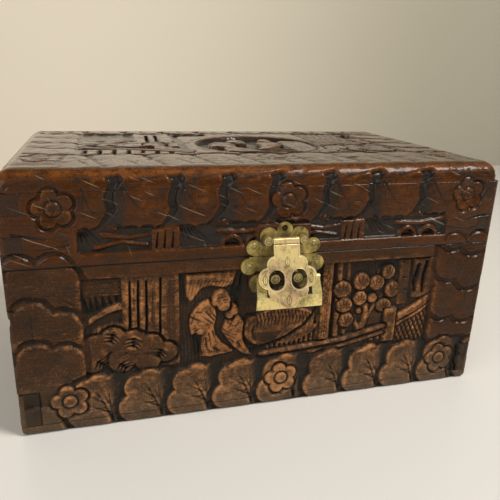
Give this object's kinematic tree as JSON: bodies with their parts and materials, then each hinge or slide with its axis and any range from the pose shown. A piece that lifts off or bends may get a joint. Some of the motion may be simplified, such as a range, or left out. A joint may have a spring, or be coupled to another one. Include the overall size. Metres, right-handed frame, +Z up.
{
  "type": "jewelry box",
  "caption": "Finger-jointed wooden jewelry box with a hinged lid, a lobed brass hasp lock with a drop plate, and a divided lift-out tray.",
  "frame": {"origin": "middle of the box's underside, on the surface it stands on", "axes": "+X to the right along the front, +Y from front to back, +Z up; the lock is on the -Y side"},
  "size_m": [0.3, 0.2051, 0.156],
  "materials": {
    "carved_wood": "dark stained and lacquered, glossy",
    "inner_wood": "bare planed wood, satin",
    "plate_brass": "tarnished, olive",
    "hinge_brass": "dull",
    "hasp_brass": "worn pale",
    "drop_brass": "bright, lightly brushed",
    "washer_steel": "dull"
  },
  "bodies": {
    "case": {"front_board": "carved_wood", "back_board": "carved_wood", "left_board": "carved_wood", "right_board": "carved_wood", "bottom_board": "carved_wood", "tray_cleats": "inner_wood", "lower_lock_plate": "plate_brass", "lower_plate_nails": "plate_brass", "lock_studs": "plate_brass", "stud_washers": "washer_steel", "stud_rod": "plate_brass", "left_case_leaf": "hinge_brass", "right_case_leaf": "hinge_brass", "left_hinge_pin": "hinge_brass", "right_hinge_pin": "hinge_brass", "case_hinge_screws": "hinge_brass"},
    "lid": {"lid_front_rail": "carved_wood", "lid_back_rail": "carved_wood", "lid_left_rail": "carved_wood", "lid_right_rail": "carved_wood", "top_board": "carved_wood", "upper_lock_plate": "plate_brass", "upper_plate_nails": "plate_brass", "hasp_posts": "plate_brass", "post_washers": "washer_steel", "hasp_rod": "plate_brass", "left_lid_leaf": "hinge_brass", "right_lid_leaf": "hinge_brass", "lid_hinge_screws": "hinge_brass"},
    "hasp": {"hasp": "hasp_brass"},
    "drop_plate": {"drop_plate": "drop_brass"},
    "tray": {"tray_front": "inner_wood", "tray_back": "inner_wood", "tray_left_end": "inner_wood", "tray_right_end": "inner_wood", "tray_bottom": "inner_wood", "tray_long_divider": "inner_wood", "tray_cross_dividers": "inner_wood"}
  },
  "joints": [
    {"name": "lid_hinge", "type": "hinge", "parent": "case", "child": "lid", "pos_m": [0, 0.0945, 0.103], "axis": [-1, 0, 0], "range_deg": [0, 105]},
    {"name": "hasp_swing", "type": "hinge", "parent": "lid", "child": "hasp", "pos_m": [0.005, -0.0955, 0.1133], "axis": [-1, 0, 0], "range_deg": [0, 150]},
    {"name": "drop_plate_swing", "type": "hinge", "parent": "case", "child": "drop_plate", "pos_m": [0.0063, -0.0998, 0.091], "axis": [1, 0, 0], "range_deg": [0, 28]},
    {"name": "tray_lift", "type": "slide", "parent": "case", "child": "tray", "axis": [0, 0, 1], "range_m": [0, 0.03]}
  ]
}
